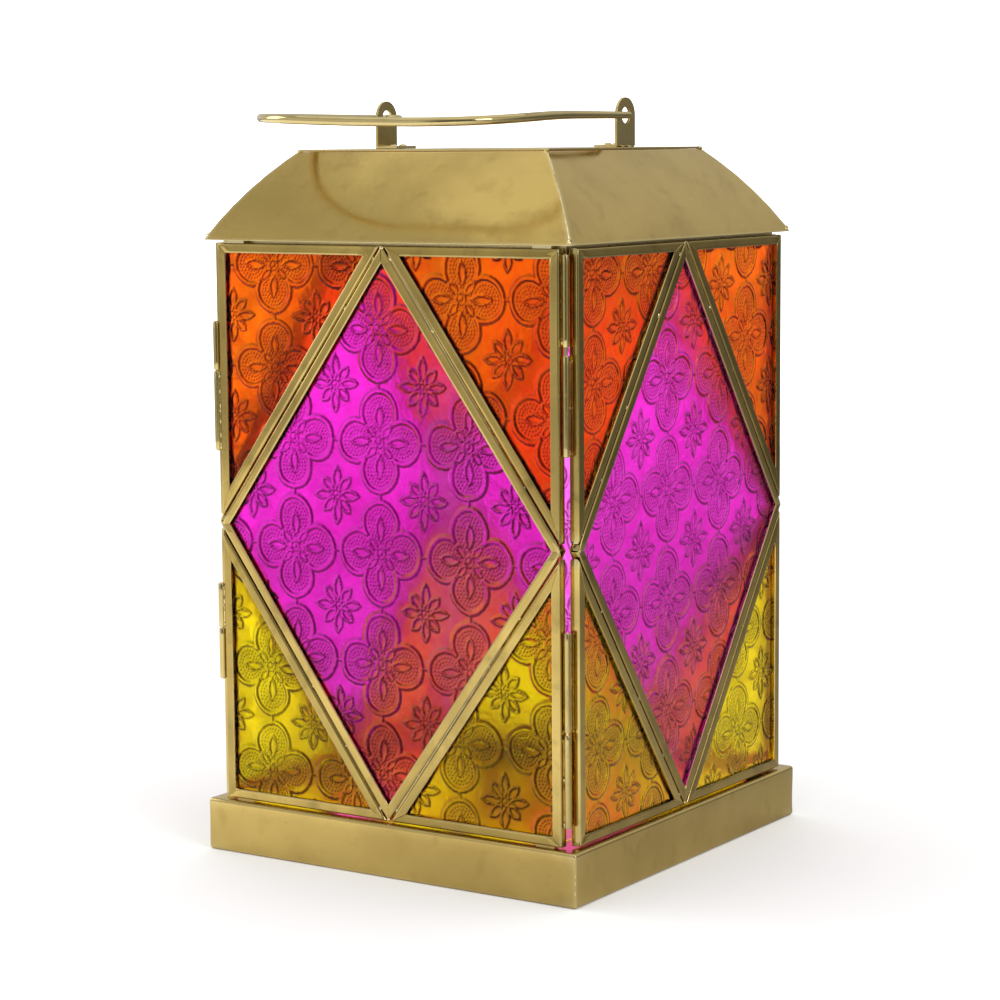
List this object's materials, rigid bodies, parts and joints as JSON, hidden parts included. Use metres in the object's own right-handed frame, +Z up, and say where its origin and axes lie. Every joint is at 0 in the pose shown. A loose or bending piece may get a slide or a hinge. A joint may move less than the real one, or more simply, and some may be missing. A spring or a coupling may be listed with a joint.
{
  "type": "candle lantern",
  "caption": "Square brass candle lantern with leaded coloured glass panels, hinged side doors, an arched roof and a folding wire bail handle; a floor cup holds a small candle.",
  "frame": {"origin": "centre of the square rest face at the bottom of the plinth", "axes": "+Z up, the fixed front panel faces -Y, the doors are on +X and -X, hinged at the front corners, and the handle lies folded towards -Y at rest"},
  "size_m": [0.19, 0.2099, 0.3263],
  "materials": {
    "frame_brass": "polished glazing channel, hand soldered, lightly tarnished",
    "sheet_brass": "polished sheet with fine handling marks",
    "wire_brass": "polished drawn wire",
    "hinge_brass": "drawn tube with solder runs",
    "glass_orange": "pressed floral relief",
    "glass_magenta": "pressed floral relief",
    "glass_yellow": "pressed floral relief"
  },
  "bodies": {
    "lantern": {"plinth": "sheet_brass", "floor_plate": "sheet_brass", "candle_cup": "sheet_brass", "door_stops": "sheet_brass", "solder_tabs": "frame_brass", "front_frame_diamond": "frame_brass", "front_glass_diamond": "glass_magenta", "front_frame_upper_left": "frame_brass", "front_glass_upper_left": "glass_orange", "front_frame_upper_right": "frame_brass", "front_glass_upper_right": "glass_orange", "front_frame_lower_left": "frame_brass", "front_glass_lower_left": "glass_yellow", "front_frame_lower_right": "frame_brass", "front_glass_lower_right": "glass_yellow", "roof_panel_front": "sheet_brass", "roof_panel_right": "sheet_brass", "back_frame_diamond": "frame_brass", "back_glass_diamond": "glass_magenta", "back_frame_upper_left": "frame_brass", "back_glass_upper_left": "glass_orange", "back_frame_upper_right": "frame_brass", "back_glass_upper_right": "glass_orange", "back_frame_lower_left": "frame_brass", "back_glass_lower_left": "glass_yellow", "back_frame_lower_right": "frame_brass", "back_glass_lower_right": "glass_yellow", "roof_panel_back": "sheet_brass", "roof_panel_left": "sheet_brass", "crown_plate": "sheet_brass", "eave_ring": "sheet_brass", "lug_right": "sheet_brass", "lug_left": "sheet_brass", "lug_rivets": "wire_brass", "right_barrels_fixed": "hinge_brass", "left_barrels_fixed": "hinge_brass", "hinge_pins": "wire_brass"},
    "right_door": {"right_frame_diamond": "frame_brass", "right_glass_diamond": "glass_magenta", "right_frame_upper_left": "frame_brass", "right_glass_upper_left": "glass_orange", "right_frame_upper_right": "frame_brass", "right_glass_upper_right": "glass_orange", "right_frame_lower_left": "frame_brass", "right_glass_lower_left": "glass_yellow", "right_frame_lower_right": "frame_brass", "right_glass_lower_right": "glass_yellow", "right_barrels_door": "hinge_brass"},
    "left_door": {"left_frame_diamond": "frame_brass", "left_glass_diamond": "glass_magenta", "left_frame_upper_left": "frame_brass", "left_glass_upper_left": "glass_orange", "left_frame_upper_right": "frame_brass", "left_glass_upper_right": "glass_orange", "left_frame_lower_left": "frame_brass", "left_glass_lower_left": "glass_yellow", "left_frame_lower_right": "frame_brass", "left_glass_lower_right": "glass_yellow", "left_barrels_door": "hinge_brass"},
    "handle": {"handle": "wire_brass"}
  },
  "joints": [
    {"name": "right_door_hinge", "type": "hinge", "parent": "lantern", "child": "right_door", "pos_m": [0.088, -0.0893, 0.145], "axis": [0, 0, -1], "range_deg": [0, 180]},
    {"name": "left_door_hinge", "type": "hinge", "parent": "lantern", "child": "left_door", "pos_m": [-0.088, -0.0914, 0.145], "axis": [0, 0, 1], "range_deg": [0, 180]},
    {"name": "handle_swing", "type": "hinge", "parent": "lantern", "child": "handle", "pos_m": [0, 0, 0.3188], "axis": [-1, 0, 0], "range_deg": [-10, 190]}
  ]
}
